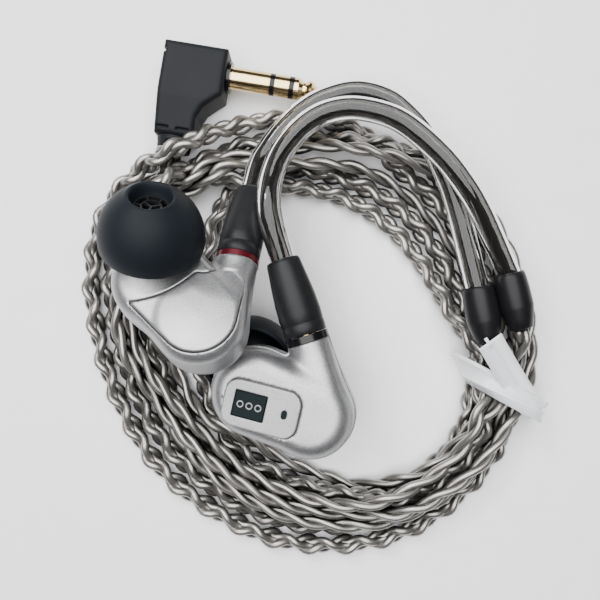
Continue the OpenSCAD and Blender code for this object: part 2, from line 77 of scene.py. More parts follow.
def rotation(yaw, pitch, roll):
    """Turns in degrees about z, x and y; the yaw comes last."""
    a, b, c = np.radians([yaw, pitch, roll])
    rz = np.array([[np.cos(a), -np.sin(a), 0], [np.sin(a), np.cos(a), 0], [0, 0, 1]])
    rx = np.array([[1, 0, 0], [0, np.cos(b), -np.sin(b)], [0, np.sin(b), np.cos(b)]])
    ry = np.array([[np.cos(c), 0, np.sin(c)], [0, 1, 0], [-np.sin(c), 0, np.cos(c)]])
    return rz @ rx @ ry


def at_row(points):
    """Layout millimetres to metres in the row frame."""
    return (np.asarray(points, float) - ORIGIN) * MM


def at_ear(points, side):
    """From an earpiece's own millimetres, in which the connector points along y, to the row frame."""
    turn = rotation(*TURN[side])
    if side == "left":
        turn = turn @ np.diag([1, 1, -1])
    return at_row(np.asarray(points) @ turn.T + NECK[side])


def at_plug(points):
    """From the plug's own millimetres, in which the jack points along x, to the row frame."""
    return at_row(np.asarray(points) @ rotation(PLUG_TURN, 0, 0).T + PLUG_AT)


# ---------------------------------------------------------------- camera
camera = bpy.data.objects.new("camera", bpy.data.cameras.new("camera"))
bpy.context.scene.collection.objects.link(camera)
camera.location = at_row((0, 0, CAMERA_UP))
camera.data.sensor_width = SENSOR
camera.data.lens = LENS
camera.data.clip_start = 0.01
bpy.context.scene.camera = camera


# ---------------------------------------------------------------- meshes
def make(name, points, faces, look, body, smooth=True, uv=None):
    """A mesh object from points in metres; faces is a list or an array of quads."""
    mesh = bpy.data.meshes.new(name)
    if isinstance(faces, np.ndarray):
        faces = faces.tolist()
    mesh.from_pydata(np.asarray(points).tolist(), [], faces)
    mesh.update()
    if smooth:
        mesh.polygons.foreach_set("use_smooth", np.ones(len(mesh.polygons), bool))
    if uv is not None:
        layer = mesh.uv_layers.new(name="strand")
        corner = np.zeros(len(mesh.loops), np.int32)
        mesh.loops.foreach_get("vertex_index", corner)
        layer.data.foreach_set("uv", uv[corner].ravel())
    mesh.materials.append(look)
    obj = bpy.data.objects.new(name, mesh)
    bpy.context.scene.collection.objects.link(obj)
    if body:
        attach(obj, body)
    return obj


def run_of(line):
    """How far along the line each of its points lies."""
    return np.concatenate([[0], np.cumsum(np.linalg.norm(np.diff(line, axis=0), axis=1))])


def frames(line):
    """Two directions square to the line at every point, carried along it without twisting."""
    along = unit(np.gradient(line, axis=0))
    side = np.zeros_like(line)
    side[0] = unit(np.cross(along[0], [0.3, 0.2, 1.0]))
    for i in range(1, len(line)):
        side[i] = unit(side[i - 1] - along[i] * (side[i - 1] @ along[i]))
    return side, np.cross(along, side)


def tube(line, radius, sides):
    """Rings swept along a line, closed at both ends. Returns points, faces and uv (turn, run)."""
    line = np.asarray(line, float)
    n = len(line)
    side, up = frames(line)
    a = np.linspace(0, 2 * np.pi, sides, endpoint=False)
    points = (line[:, None] + radius * (np.cos(a)[None, :, None] * side[:, None]
                                        + np.sin(a)[None, :, None] * up[:, None])).reshape(-1, 3)
    i, k = np.meshgrid(np.arange(n - 1), np.arange(sides), indexing="ij")
    a0, a1 = i * sides + k, i * sides + (k + 1) % sides
    quads = np.stack([a0, a1, a1 + sides, a0 + sides], -1).reshape(-1, 4)
    turn = np.abs(np.linspace(-1, 1, sides, endpoint=False))
    uv = np.stack([np.tile(turn, n), np.repeat(run_of(line), sides)], -1)
    caps = [list(range(sides)), [(n - 1) * sides + k for k in range(sides)][::-1]]
    return points, quads[:, ::-1].tolist() + caps, uv


def join(parts):
    """One mesh of several tubes."""
    points, faces, uvs, first = [], [], [], 0
    for p, f, uv in parts:
        points.append(p)
        faces += [[v + first for v in face] for face in f]
        uvs.append(uv)
        first += len(p)
    return np.vstack(points), faces, np.vstack(uvs)


def lathe(profile, sides=72):
    """A closed profile of (radius, height) turned about z."""
    profile = np.asarray(profile, float)
    a = np.linspace(0, 2 * np.pi, sides, endpoint=False)
    points = np.stack([profile[:, None, 0] * np.cos(a), profile[:, None, 0] * np.sin(a),
                       np.broadcast_to(profile[:, None, 1], (len(profile), sides))], -1).reshape(-1, 3)
    n = len(profile)
    i, k = np.meshgrid(np.arange(n), np.arange(sides), indexing="ij")
    a0, a1 = i * sides + k, i * sides + (k + 1) % sides
    b0, b1 = ((i + 1) % n) * sides + k, ((i + 1) % n) * sides + (k + 1) % sides
    return points, np.stack([a0, a1, b1, b0], -1).reshape(-1, 4)


def curve_through(points, step):
    """Catmull-Rom through given points, resampled evenly."""
    points = np.asarray(points, float)
    p = np.vstack([2 * points[0] - points[1], points, 2 * points[-1] - points[-2]])
    t = np.linspace(0, 1, 12, endpoint=False)[:, None]
    out = []
    for a, b, c, d in zip(p[:-3], p[1:-2], p[2:-1], p[3:]):
        out.append(0.5 * (2 * b + (c - a) * t + (2 * a - 5 * b + 4 * c - d) * t ** 2
                          + (3 * b - a - 3 * c + d) * t ** 3))
    return even(np.vstack(out + [p[-2:-1]]), step)


def even(line, step):
    """The line with its points a step apart."""
    s = run_of(line)
    at = np.linspace(0, s[-1], max(2, int(round(s[-1] / step)) + 1))
    return np.stack([np.interp(at, s, line[:, k]) for k in range(3)], 1)


# ---------------------------------------------------------------- solids from distance fields
def smin(a, b, k):
    """The smaller of two distances, blended over k, so that the two shapes join with a fillet."""
    h = np.maximum(k - np.abs(a - b), 0) / k
    return np.minimum(a, b) - h * h * k / 4


def smax(a, b, k):
    return -smin(-a, -b, k)


def taper(along, across, length, ra, rb):
    """Distance to two circles or balls, length apart, and what is between them."""
    k = (ra - rb) / length
    foot = np.clip(along - across * k / math.sqrt(1 - k * k), 0, length)
    return np.hypot(along - foot, across) - (ra + (rb - ra) * foot / length)


def taper_plan(x, y, a, ra, b, rb):
    """The same in plan, between circles at a and b."""
    d = np.subtract(b, a)
    long = np.hypot(*d)
    u = d / long
    along = (x - a[0]) * u[0] + (y - a[1]) * u[1]
    across = np.abs((x - a[0]) * u[1] - (y - a[1]) * u[0])
    return taper(along, across, long, ra, rb)


def surface(field, low, high, cell):
    """Surface nets where field(x, y, z) is 0, with the vertices moved onto the surface."""
    axes = [np.arange(a, b + cell, cell) for a, b in zip(low, high)]
    x, y, z = np.meshgrid(*axes, indexing="ij")
    inside = field(x, y, z) < 0
    nx, ny, nz = inside.shape
    count = sum(inside[i:nx - 1 + i, j:ny - 1 + j, k:nz - 1 + k].astype(np.int8)
                for i in (0, 1) for j in (0, 1) for k in (0, 1))
    live = (count > 0) & (count < 8)
    number = np.full(live.shape, -1)
    number[live] = np.arange(live.sum())
    centre = np.array(low) + (np.argwhere(live) + 0.5) * cell
    p, e = centre.copy(), cell * 0.05
    for _ in range(5):
        f = field(*p.T)
        g = np.stack([(field(*(p + d).T) - field(*(p - d).T)) / (2 * e) for d in np.eye(3) * e], 1)
        p -= (f / np.maximum((g ** 2).sum(1), 0.05))[:, None] * g
        p = np.clip(p, centre - cell * 0.75, centre + cell * 0.75)
    quads = []
    for axis in range(3):
        a = np.moveaxis(inside, axis, 0)
        num = np.moveaxis(number, axis, 0)
        change = (a[:-1] != a[1:])[:, 1:-1, 1:-1]
        i, j, k = np.nonzero(change)
        q = np.stack([num[i, j, k], num[i, j + 1, k], num[i, j + 1, k + 1], num[i, j, k + 1]], 1)
        flip = a[:-1][:, 1:-1, 1:-1][i, j, k] ^ (axis == 1)
        q[~flip] = q[~flip][:, ::-1]
        quads.append(q)
    return p, np.vstack(quads)


# ---------------------------------------------------------------- materials
SOCKETS = {"specular": "Specular IOR Level", "transmission": "Transmission Weight", "ior": "IOR"}
BROAD_SCALE = 160  # of the slow change of colour that lies over the fine grain


def node(tree, kind, inputs=(), **settings):
    """A new shader node with its settings, and the values of its inputs by name or number."""
    new = tree.nodes.new("ShaderNode" + kind)
    for key, value in settings.items():
        setattr(new, key, value)
    for key, value in dict(inputs).items():
        new.inputs[key].default_value = value
    return new


def material(name, colour, metal=0.0, rough=0.5, coat=0.0, coat_rough=0.05, grain=0.1, vary=0.0,
             rough_vary=0.0, bump=0.0, bump_mm=0.01, **sockets):
    """Principled with a fine grain: colour and roughness vary with it and it lifts the surface a little."""
    m = bpy.data.materials.new(name)
    m.use_nodes = True
    m.diffuse_color = (*colour, 1)
    tree, link = m.node_tree, m.node_tree.links.new
    shader = tree.nodes["Principled BSDF"]
    shader.inputs["Metallic"].default_value = metal
    shader.inputs["Coat Weight"].default_value = coat
    shader.inputs["Coat Roughness"].default_value = coat_rough
    for short, value in sockets.items():
        shader.inputs[SOCKETS[short]].default_value = value
    place = node(tree, "TexCoord")
    fine = node(tree, "TexNoise", {"Scale": 1000 / grain, "Detail": 3})
    broad = node(tree, "TexNoise", {"Scale": BROAD_SCALE, "Detail": 2})
    for noise in (fine, broad):
        link(place.outputs["Object"], noise.inputs["Vector"])
    mixed = node(tree, "Math", {1: 0.5}, operation="MULTIPLY_ADD")
    link(broad.outputs["Fac"], mixed.inputs[0])
    link(fine.outputs["Fac"], mixed.inputs[2])
    ramp = node(tree, "ValToRGB")
    low, high = ramp.color_ramp.elements
    low.position, high.position = 0.45, 1.0
    low.color = (*[c * (1 - vary) for c in colour], 1)
    high.color = (*[min(1, c * (1 + vary)) for c in colour], 1)
    link(mixed.outputs[0], ramp.inputs["Fac"])
    link(ramp.outputs["Color"], shader.inputs["Base Color"])
    spread = node(tree, "MapRange", {"To Min": rough - rough_vary, "To Max": rough + rough_vary})
    link(fine.outputs["Fac"], spread.inputs["Value"])
    link(spread.outputs["Result"], shader.inputs["Roughness"])
    if bump:
        lift = node(tree, "Bump", {"Strength": bump, "Distance": bump_mm * MM})
        link(fine.outputs["Fac"], lift.inputs["Height"])
        link(lift.outputs["Normal"], shader.inputs["Normal"])
    return m


def strand_material(name, colour, shade):
    """Fine wires under a clear jacket, from the strand's own uv, with painted shade in the hollows between
    strands.
    """
    m = material(name, colour, metal=0.88, rough=0.36, coat=0.35, coat_rough=0.16, grain=0.5, vary=0.12)
    tree, link = m.node_tree, m.node_tree.links.new
    shader = tree.nodes["Principled BSDF"]
    uv = node(tree, "UVMap", uv_map="strand")
    split = node(tree, "SeparateXYZ")
    link(uv.outputs["UV"], split.inputs[0])
    # waves round the strand, which drift slowly along it
    round_it = node(tree, "Math", {1: 30}, operation="MULTIPLY_ADD")
    drift = node(tree, "Math", {1: 9}, operation="MULTIPLY")
    wave = node(tree, "Math", operation="SINE")
    link(split.outputs["X"], round_it.inputs[0])
    link(split.outputs["Y"], drift.inputs[0])
    link(drift.outputs[0], round_it.inputs[2])
    link(round_it.outputs[0], wave.inputs[0])
    tone = node(tree, "MapRange", {"From Min": -1, "To Min": shade})
    link(wave.outputs[0], tone.inputs["Value"])
    # painted shade: ambient occlusion, raised to a power, darkens the base colour in the hollows between
    # strands
    painted_shade = node(tree, "AmbientOcclusion", {"Distance": 2.2 * MM}, samples=4)
    painted_shade_deeper = node(tree, "Gamma", {"Gamma": 1.7})
    link(painted_shade.outputs["AO"], painted_shade_deeper.inputs["Color"])
    base = tree.nodes["Color Ramp"].outputs["Color"]
    # the filaments' stripes, then the painted shade of the hollows, multiply the colour
    for darker in (tone.outputs["Result"], painted_shade_deeper.outputs["Color"]):
        tint = node(tree, "Mix", data_type="RGBA", blend_type="MULTIPLY")
        tint.inputs["Factor"].default_value = 1
        link(base, tint.inputs["A"])
        link(darker, tint.inputs["B"])
        base = tint.outputs["Result"]
    link(base, shader.inputs["Base Color"])
    lift = node(tree, "Bump", {"Strength": 0.25, "Distance": 0.02 * MM})
    link(wave.outputs[0], lift.inputs["Height"])
    link(lift.outputs["Normal"], shader.inputs["Normal"])
    return m


# both strand looks carry painted shade in the hollows between strands
CABLE = strand_material("cable_strand", (0.34, 0.325, 0.305), 0.8)
CORE = strand_material("core_strand", (0.20, 0.188, 0.176), 0.7)
SILVER = material("shell_silver", (0.335, 0.336, 0.343), metal=0.9, rough=0.41, grain=0.2, vary=0.3,
                  rough_vary=0.09, bump=0.45, bump_mm=0.02)
BADGE = material("badge_silver", (0.27, 0.27, 0.275), metal=0.75, rough=0.44, grain=0.18, vary=0.3,
                 rough_vary=0.08, bump=0.4, bump_mm=0.02)
TILE = material("tile_black", (0.003, 0.007, 0.008), rough=0.2, grain=0.4, vary=0.2, specular=0.05)
SILICONE = material("silicone_blue", (0.0075, 0.0095, 0.0125), rough=0.5, grain=0.12, vary=0.15,
                    rough_vary=0.06, bump=0.2, bump_mm=0.008, specular=0.09)
GRID = material("silicone_black", (0.006, 0.0065, 0.008), rough=0.45, grain=0.1, vary=0.1, rough_vary=0.05,
                specular=0.5)
BOOT = material("boot_black", (0.008, 0.0085, 0.0095), rough=0.42, grain=0.16, vary=0.6, rough_vary=0.12,
                bump=0.6, bump_mm=0.02, specular=0.2)
SLEEVE_BLACK = material("sleeve_black", (0.006, 0.006, 0.007), rough=0.38, grain=0.2, vary=0.3,
                        rough_vary=0.08, bump=0.2, bump_mm=0.015, specular=0.2)
PLUG = material("plug_matte", (0.0095, 0.0105, 0.0125), rough=0.5, grain=0.12, vary=0.25, rough_vary=0.06,
                bump=0.3, bump_mm=0.012, specular=0.11)
GLOSS = material("black_gloss", (0.004, 0.004, 0.005), rough=0.2, grain=0.5, vary=0.1, specular=0.3)
GOLD = material("gold", (0.80, 0.60, 0.30), metal=1.0, rough=0.16, grain=0.3, vary=0.05, rough_vary=0.04)
RED = material("collar_red", (0.09, 0.004, 0.010), metal=0.5, rough=0.32, grain=0.1, vary=0.15, coat=0.3)
STEEL = material("steel", (0.55, 0.55, 0.56), metal=1.0, rough=0.28, grain=0.2, vary=0.05, rough_vary=0.05)
GREY = material("driver_grey", (0.08, 0.08, 0.09), rough=0.5, grain=0.2, vary=0.1)
COPPER = material("copper", (0.62, 0.30, 0.14), metal=1.0, rough=0.3, grain=0.1, vary=0.1)
MESH = material("mesh_black", (0.03, 0.03, 0.03), metal=0.7, rough=0.4, grain=0.1, vary=0.2)
SMOKE = material("hook_smoke", (0.15, 0.143, 0.136), rough=0.04, grain=0.5, vary=0.04,
                 transmission=0.95, ior=1.46)
FILM = material("tie_white", (0.93, 0.95, 0.98), rough=0.28, grain=0.3, vary=0.02, bump=0.1, bump_mm=0.02,
                transmission=0.18)

# the CAD pieces that stay in view as they are, by name with or without the side
CAD_LOOKS = {
    "plug_strain_relief": PLUG, "plug_flange": GLOSS, "plug_sleeve_contact": GOLD,
    "plug_ring_contact": GOLD, "plug_tip_contact": GOLD, "plug_insulators": GLOSS, "y_splitter": SLEEVE_BLACK,
    "hook_sleeve": SLEEVE_BLACK, "boot": BOOT, "barrel": GOLD, "pin": GOLD, "snap_ring": STEEL,
    "collar_right": RED, "collar_left": GLOSS, "socket": GOLD, "badge_tile": TILE, "nozzle": SILVER,
    "nozzle_filter": MESH, "driver_frame": GREY, "driver_magnet": STEEL, "driver_coil": COPPER,
    "tip_grid": GRID,
}
for name, piece in NODES.items():
    look = CAD_LOOKS.get(name) or CAD_LOOKS.get(name.rsplit("_", 1)[0])
    slots = piece.data.materials
    if look and slots:
        for i in range(len(slots)):
            slots[i] = look
    elif look:
        slots.append(look)


# ---------------------------------------------------------------- cable: given lanes, then settled
STEP = 30  # degrees between the lanes' points
# radius and height of the main lead every 30 degrees, from the plug round to the splitter, one row a turn
MAIN_START = 150
MAIN_R = [36.6, 31.2, 29.4, 30.2, 31.8, 33.4, 33.2, 30.4, 29.6, 31.2, 34.8, 36.2,
          40.0, 34.8, 33.2, 34.0, 35.6, 37.0, 35.4, 33.8, 32.8, 32.0, 32.2, 33.0,
          33.0, 27.6, 26.0, 26.8, 28.6, 30.4, 31.0, 26.8, 25.0, 25.2, 26.6, 28.2,
          20.6, 18.9, 21.2, 23.6, 26.4, 31.6, 33.2, 24.0, 22.4, 22.8, 24.6, 28.0]
MAIN_Z = [2.0, 1.8, 1.8, 1.8, 1.8, 1.8, 1.8, 1.8, 1.8, 1.8, 1.8, 5.5,
          7.0, 3.0, 2.2, 2.2, 2.2, 2.2, 2.2, 2.2, 2.4, 3.5, 4.5, 5.0,
          4.5, 2.2, 2.2, 2.2, 2.2, 2.4, 3.0, 3.0, 2.0, 2.0, 2.4, 3.0,
          2.0, 1.8, 2.0, 2.0, 3.5, 5.5, 5.5, 4.5, 4.0, 4.5, 5.0, 6.5]
# the two branches, from the splitter round to the hook sleeves
PAIR_START = 180
PAIR_R = {"left": [32.2, 27.2, 27.0, 29.3, 32.1, 34.0, 36.3, 34.2, 32.0, 30.4, 31.6, 35.2,
                   30.4, 28.8, 29.4, 31.2, 33.6, 33.6],
          "right": [30.1, 25.1, 24.9, 27.2, 30.0, 30.6, 27.8, 27.6, 27.8, 26.8, 29.4, 33.0,
                    27.2, 22.8, 21.8, 25.2, 29.4, 30.8]}
PAIR_Z = {"left": [8.5, 8.5, 8.5, 8.5, 8.5, 8.0, 4.0, 5.0, 7.0, 8.0, 9.0, 8.0,
                   5.0, 5.0, 5.5, 5.5, 6.0, 7.5],
          "right": [8.5, 8.5, 8.5, 8.5, 8.5, 8.0, 7.0, 6.5, 8.0, 8.5, 9.5, 8.0,
                    4.0, 3.0, 3.0, 3.5, 5.0, 7.0]}
# half the room that a cord takes while it settles, a little under half its drawn width
BRAID_ROOM, PAIR_ROOM = 1.62, 1.02
TABLE_GAP = 0.13  # so that the drawn strands clear the table
BRAID = {"pitch": 12.0, "strand": 0.64, "mean": 0.66, "swing": 0.48}
PAIR = {"pitch": 10.6, "strand": 0.60, "radius": 0.50, "count": 2}
HOOK_WIRES = {"pitch": 15.0, "strand": 0.42, "radius": 0.60, "count": 4}
# where the cord leaves the plug's leg, and which way
PLUG_END, PLUG_DIR = np.array([-20.0, 25.9, 4.4]), np.array([-0.157, -0.9875, 0])


def lane(start, radii, heights):
    """Points round the coil from an angle on, one every STEP degrees."""
    a = np.radians(start + STEP * np.arange(len(radii)))
    r = np.array(radii)
    return np.stack([RING[0] + r * np.cos(a), RING[1] + r * np.sin(a), np.array(heights)], 1)


def cable_lanes():
    """The lines of the main lead, the left and the right branch before they settle."""
    along = unit(SPLIT[1] - SPLIT[0])
    across = unit(np.cross(along, [0, 0, 1.0]))
    main = np.vstack([PLUG_END, PLUG_END + 2.6 * PLUG_DIR, PLUG_END + 5 * PLUG_DIR + [-0.4, 0, -0.5],
                      [-24.6, 18.4, 2.4], lane(MAIN_START, MAIN_R, MAIN_Z),
                      SPLIT[1] + 5.2 * along + [1.0, -0.2, -0.6], SPLIT[1] + 2.4 * along, SPLIT[1]])
    lines = [curve_through(main, 2.2)]
    for side, s in (("left", 1), ("right", -1)):
        start, end = SPLIT[0] + across * s * 1.08, SLEEVE[side][1]
        d = unit(end - SLEEVE[side][0])
        pair = np.vstack([start, start - 2.2 * along, lane(PAIR_START, PAIR_R[side], PAIR_Z[side]),
                          end + 5 * d + [0, 0, -1.2], end + 2.2 * d + [0, 0, -0.1], end])
        lines.append(curve_through(pair, 1.6))
    return lines


def push_apart(x, i, j, rad):
    """Moves points i and j of each pair that is too close, both by half of what is missing."""
    d = x[i] - x[j]
    far = np.linalg.norm(d, axis=1) + 1e-9
    painted_shade_deeper = np.maximum(rad[i] + rad[j] - far, 0)
    push = (painted_shade_deeper / far * 0.5)[:, None] * d
    hit = (painted_shade_deeper > 0).astype(float)
    count = np.bincount(i, hit, len(x)) + np.bincount(j, hit, len(x))
    move = np.stack([np.bincount(i, push[:, c], len(x)) - np.bincount(j, push[:, c], len(x))
                     for c in range(3)], 1)
    x += move / np.maximum(count, 1)[:, None] * 1.35


def push_off(x, rad, solids):
    """Moves points out of rods from a to b whose radius goes from ra to rb."""
    for a, b, ra, rb in solids:
        t = np.clip((x - a) @ (b - a) / ((b - a) @ (b - a)), 0, 1)
        away = x - (a + t[:, None] * (b - a))
        dist = np.linalg.norm(away, axis=1) + 1e-9
        short = np.maximum(ra + t * (rb - ra) + rad - dist, 0)
        x += away / dist[:, None] * short[:, None]


def hold_in_tie(x, rad):
    """Keeps the points near the tie under its band and between its sides."""
    local = (x[:, :2] - TIE_AT) @ TIE_AXES
    along, across = local[:, 0], np.abs(local[:, 1])
    held = (across < 4.2) & (np.abs(along) < 8)
    roof = 8.0 + np.maximum(across - 2.6, 0) - rad
    x[:, 2] = np.where(held, np.minimum(x[:, 2], roof), x[:, 2])
    inward = np.clip(along[held], -5.2, 4.9) - along[held]
    x[held, 0] += np.clip(TIE_AXES[0, 0] * inward, -0.2, 0.2)


def settle(lines, radii, solids, rounds=220, fall=0.06, home_pull=(0.06, 0.02), stiffness=0.22):
    """Lets the cords down onto the table and each other, round the solids, near their own lanes."""
    first = np.cumsum([0] + [len(l) for l in lines])
    x = np.vstack(lines)
    home = x.copy()
    rad = np.concatenate([np.full(len(l), r) for l, r in zip(lines, radii)])
    pin = np.zeros(len(x), bool)
    inner = np.ones(len(x), bool)
    for a, b in zip(first[:-1], first[1:]):
        pin[a:a + 2] = pin[b - 2:b] = True
        inner[[a, b - 1]] = False
    all_i, all_j = np.triu_indices(len(x), 4)
    for k in range(rounds):
        late = k / rounds
        if k % 8 == 0:
            gap = np.linalg.norm(x[all_i] - x[all_j], axis=1) - rad[all_i] - rad[all_j]
            i, j = all_i[gap < 2.5], all_j[gap < 2.5]
        x[:, 2] -= fall * (1 - 0.8 * late)
        x[:, :2] += home_pull[late >= 0.8] * (home[:, :2] - x[:, :2])
        bend = np.zeros_like(x)
        bend[1:-1] = 0.5 * (x[:-2] + x[2:]) - x[1:-1]
        x += np.where(inner[:, None], stiffness * bend, 0)
        for _ in range(2):
            push_apart(x, i, j, rad)
            push_off(x, rad, solids)
            hold_in_tie(x, rad)
            x[:, 2] = np.maximum(x[:, 2], rad + TABLE_GAP)
            x[pin] = home[pin]
    return [x[a:b] for a, b in zip(first[:-1], first[1:])]


def solids_in_the_way():
    """Rods for what the cords lie against: the hooks, the plug, the splitter and the left ear tip."""
    turn = rotation(PLUG_TURN, 0, 0)

    def spot(x, y):
        return turn @ [x, y, 0] + PLUG_AT
    out = []
    for side, points in HOOK.items():
        line = [np.array(p, float) for p in points] + [SLEEVE[side][0].astype(float)]
        out += [(a, b, HOOK_R, HOOK_R) for a, b in zip(line[:-1], line[1:])]
        out.append((*SLEEVE[side], SLEEVE_R, SLEEVE_R))
    leg = (spot(-7.3, -12), spot(-7, 0), 2.9, 4.2)
    jack = (spot(0, 0), spot(14, 0), 1.75, 1.75)
    splitter = (SPLIT[0] * 0.88 + SPLIT[1] * 0.12, SPLIT[0] * 0.12 + SPLIT[1] * 0.88, 1.9, 1.9)
    left_tip = (np.array([-7.6, -11.6, 6.0]), np.array([-7.0, -9.3, 7.0]), 6.6, 7.3)
    return out + [leg, jack, splitter, left_tip]


def braid(line, pitch, strand, mean, swing, sides=10, step=0.52):
    """Four strands, two winding each way, passing over and under where they cross."""
    line = even(line, step)
    side, up = frames(line)
    s = np.arange(len(line)) * np.linalg.norm(line[1] - line[0])
    w = 2 * np.pi * s / pitch
    parts = []
    for sense in (1, -1):
        for half in (0, np.pi):
            angle = sense * w + half
            r = mean + sense * swing * np.cos(2 * w)
            path = line + r[:, None] * (np.cos(angle)[:, None] * side + np.sin(angle)[:, None] * up)
            parts.append(tube(at_row(path), strand * MM, sides))
    return join(parts), line


def twist(line, pitch, strand, radius, count, sides=12, step=0.55):
    """Strands wound round a line."""
    line = even(line, step)
    side, up = frames(line)
    w = 2 * np.pi * np.arange(len(line)) * np.linalg.norm(line[1] - line[0]) / pitch
    parts = []
    for half in np.arange(count) * 2 * np.pi / count:
        path = line + radius * (np.cos(w + half)[:, None] * side + np.sin(w + half)[:, None] * up)
        parts.append(tube(at_row(path), strand * MM, sides))
    return join(parts), line


def cables():
    """The three cords, each with its middle line from the splitter or the hook to its far end."""
    main, left, right = settle(cable_lanes(), [BRAID_ROOM, PAIR_ROOM, PAIR_ROOM], solids_in_the_way())
    (points, faces, uv), main = braid(main[::-1], **BRAID)
    cord = make("cable_main", points, faces, CABLE, "cable", uv=uv)
    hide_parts("cable_coil", "cable_plug_lead", "cable_main_lead")
    out = {"main": (cord, main)}
    for side, line in (("left", left), ("right", right)):
        (points, faces, uv), line = twist(line[::-1], **PAIR)
        cord = make("cable_" + side, points, faces, CABLE, "cable", uv=uv)
        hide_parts("cable_split_" + side, "cable_branch_" + side)
        out[side] = (cord, line)
    return out


CORDS = cables()


# ---------------------------------------------------------------- ear hooks
def hook_line(side):
    """From inside the boot, up out of it, round the ear and into the sleeve."""
    axis = rotation(*TURN[side])[:, 1]
    neck = np.array(NECK[side])
    top = neck + axis * (COLLAR[side] + COLLAR_GAP + BOOT_LEN)
    low = neck + axis * (COLLAR[side] + COLLAR_GAP + BOOT_LEN - 4)
    end = SLEEVE[side][0] * 0.6 + SLEEVE[side][1] * 0.4
    bend = curve_through(np.vstack([top, HOOK[side], SLEEVE[side][0]]), 0.5)
    return even(np.vstack([low, bend, end]), 0.5)


for side in ("right", "left"):
    line = hook_line(side)
    points, faces, _ = tube(at_row(line), HOOK_R * MM, 32)
    hook = make("hook_" + side, points, faces, SMOKE, "cable")
    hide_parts("hook_tube_" + side)
    (points, faces, uv), _ = twist(line, **HOOK_WIRES)
    core = make("hook_wires_" + side, points, faces, CORE, "cable", uv=uv)
    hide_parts("hook_core_" + side)


def standing(points, a, b):
    """Lathe points turned so that z runs from a to b."""
    along = unit(np.subtract(b, a))
    side = unit(np.cross(along, [0, 0, 1.0]))
    return np.asarray(points) @ np.array([side, np.cross(along, side), along]) + a


# radius and height: outside from the hook to the cord, back through the bore
SLEEVE_PROFILE = [[1.83, 0], [2.2, 0], [2.36, 0.15], [2.5, 0.8], [2.62, 2.5], [2.66, 5.2], [2.6, 5.6],
                  [2.2, 7.3], [1.85, 8.6], [1.65, 8.8], [1.1, 8.8], [1.1, 4.0], [1.83, 4.0]]
for side in ("right", "left"):
    points, quads = lathe(SLEEVE_PROFILE, 48)
    sleeve = make("hook_end_" + side, at_row(standing(points, *SLEEVE[side])), quads, SLEEVE_BLACK, "cable")
    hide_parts("hook_sleeve_" + side)


# ---------------------------------------------------------------- shells
# an earpiece's own frame: the connector face at the origin, y towards the boot, z towards the ear
LOBE_A, A_R = (-9.4, -4.7), 6.6
LOBE_B, B_R = (-2.75, -10.1), 6.2
NECK_R, NECK_BORE_R = 3.2, 2.22
Z_OUT, Z_IN, WALL = 4.5, 4.2, 0.8  # depth on each side of the split, thickness of the shells
SLIM = 0.17  # off the outer halves, so that the two earpieces clear each other when they swivel
PANEL_IN, PANEL_DEEP = 0.95, 0.95  # the panel's edge inside the outline, the depth of its seat
NOZZLE, NOZZLE_BORE_R = np.array([-11.0, -1.6, 4.5]), 2.64
NOZZLE_TURN = rotation(0, 0, 7) @ rotation(0, -23, 0)
BADGE_AT, BADGE_TURN, BADGE_UP = (-8.6, -6.8), -31, 0.35
BADGE_HALF, BADGE_CORNER = (5.5, 3.4), 2
TILE_AT, SLOT_AT = -1.65, 3.4  # along the badge


def slab(plan, z, g):
    """A pebble's section: a soft elliptic edge on the outer face, a tighter one on the ear side."""
    crown = 0.62 * (1 - np.exp(np.minimum(plan, 0) / 2.4)) - 0.3

    def edge(ep, ez, depth):
        u = np.maximum(plan + ep, 0) / ep
        v = np.maximum(np.abs(z) - (depth - ez), 0) / ez
        return (np.hypot(u, v) - 1) * min(ep, ez)
    return np.where(z < 0, edge(2.6, 2.9, Z_OUT - g), edge(1.4, 1.6, Z_IN - g + crown))


def pebble(x, y, z, g=0.0):
    """The whole shell, two lobes and an arm to the round neck, g smaller all over."""
    body = slab(taper_plan(x, y, LOBE_A, A_R - g, LOBE_B, B_R - g), z, g)
    arm = slab(taper_plan(x, y, LOBE_B, B_R - g, (0, -1.2), NECK_R - g), z, g)
    near = np.clip((np.hypot(x, y) - 1.0) / 7.0, 0, 1)
    near = near * near * (3 - 2 * near)
    arm = arm * near + (np.hypot(x, z) - NECK_R + g) * (1 - near)
    return smin(body, smax(arm, y, 0.12), 0.9)


def panel_plan(x, y, g):
    """The lid on the ear side, g smaller, cut back by straight and round edges at the nozzle and neck."""
    a_r, b_r = A_R - PANEL_IN - g, B_R - PANEL_IN - g
    plate = np.minimum(taper_plan(x, y, LOBE_A, a_r, LOBE_B, b_r),
                       taper_plan(x, y, LOBE_B, b_r, (0.35, -3.4), 2.2 - g))
    plate = smax(plate, y + 2.65 + g, 0.9)
    plate = smax(plate, 12.3 + g - np.hypot(x + 14.6, y - 2.6), 0.5)
    return smax(plate, 2.1 + g - np.hypot(x + 3.6, y + 1.9), 0.5)


def neck_bore(x, y, z):
    """The socket's hole along y."""
    return np.maximum(np.hypot(x, z) - NECK_BORE_R, -5 - y)


def badge_plan(x, y, g):
    """Distance to the badge's rounded rectangle, g larger, and the place along and across it."""
    c, s = np.cos(np.radians(BADGE_TURN)), np.sin(np.radians(BADGE_TURN))
    x, y = x - BADGE_AT[0], y - BADGE_AT[1]
    u, v = x * c + y * s, -x * s + y * c
    qx, qy = np.abs(u) - (BADGE_HALF[0] - BADGE_CORNER), np.abs(v) - (BADGE_HALF[1] - BADGE_CORNER)
    away = np.hypot(np.maximum(qx, 0), np.maximum(qy, 0)) + np.minimum(np.maximum(qx, qy), 0)
    return away - BADGE_CORNER - g, u, v


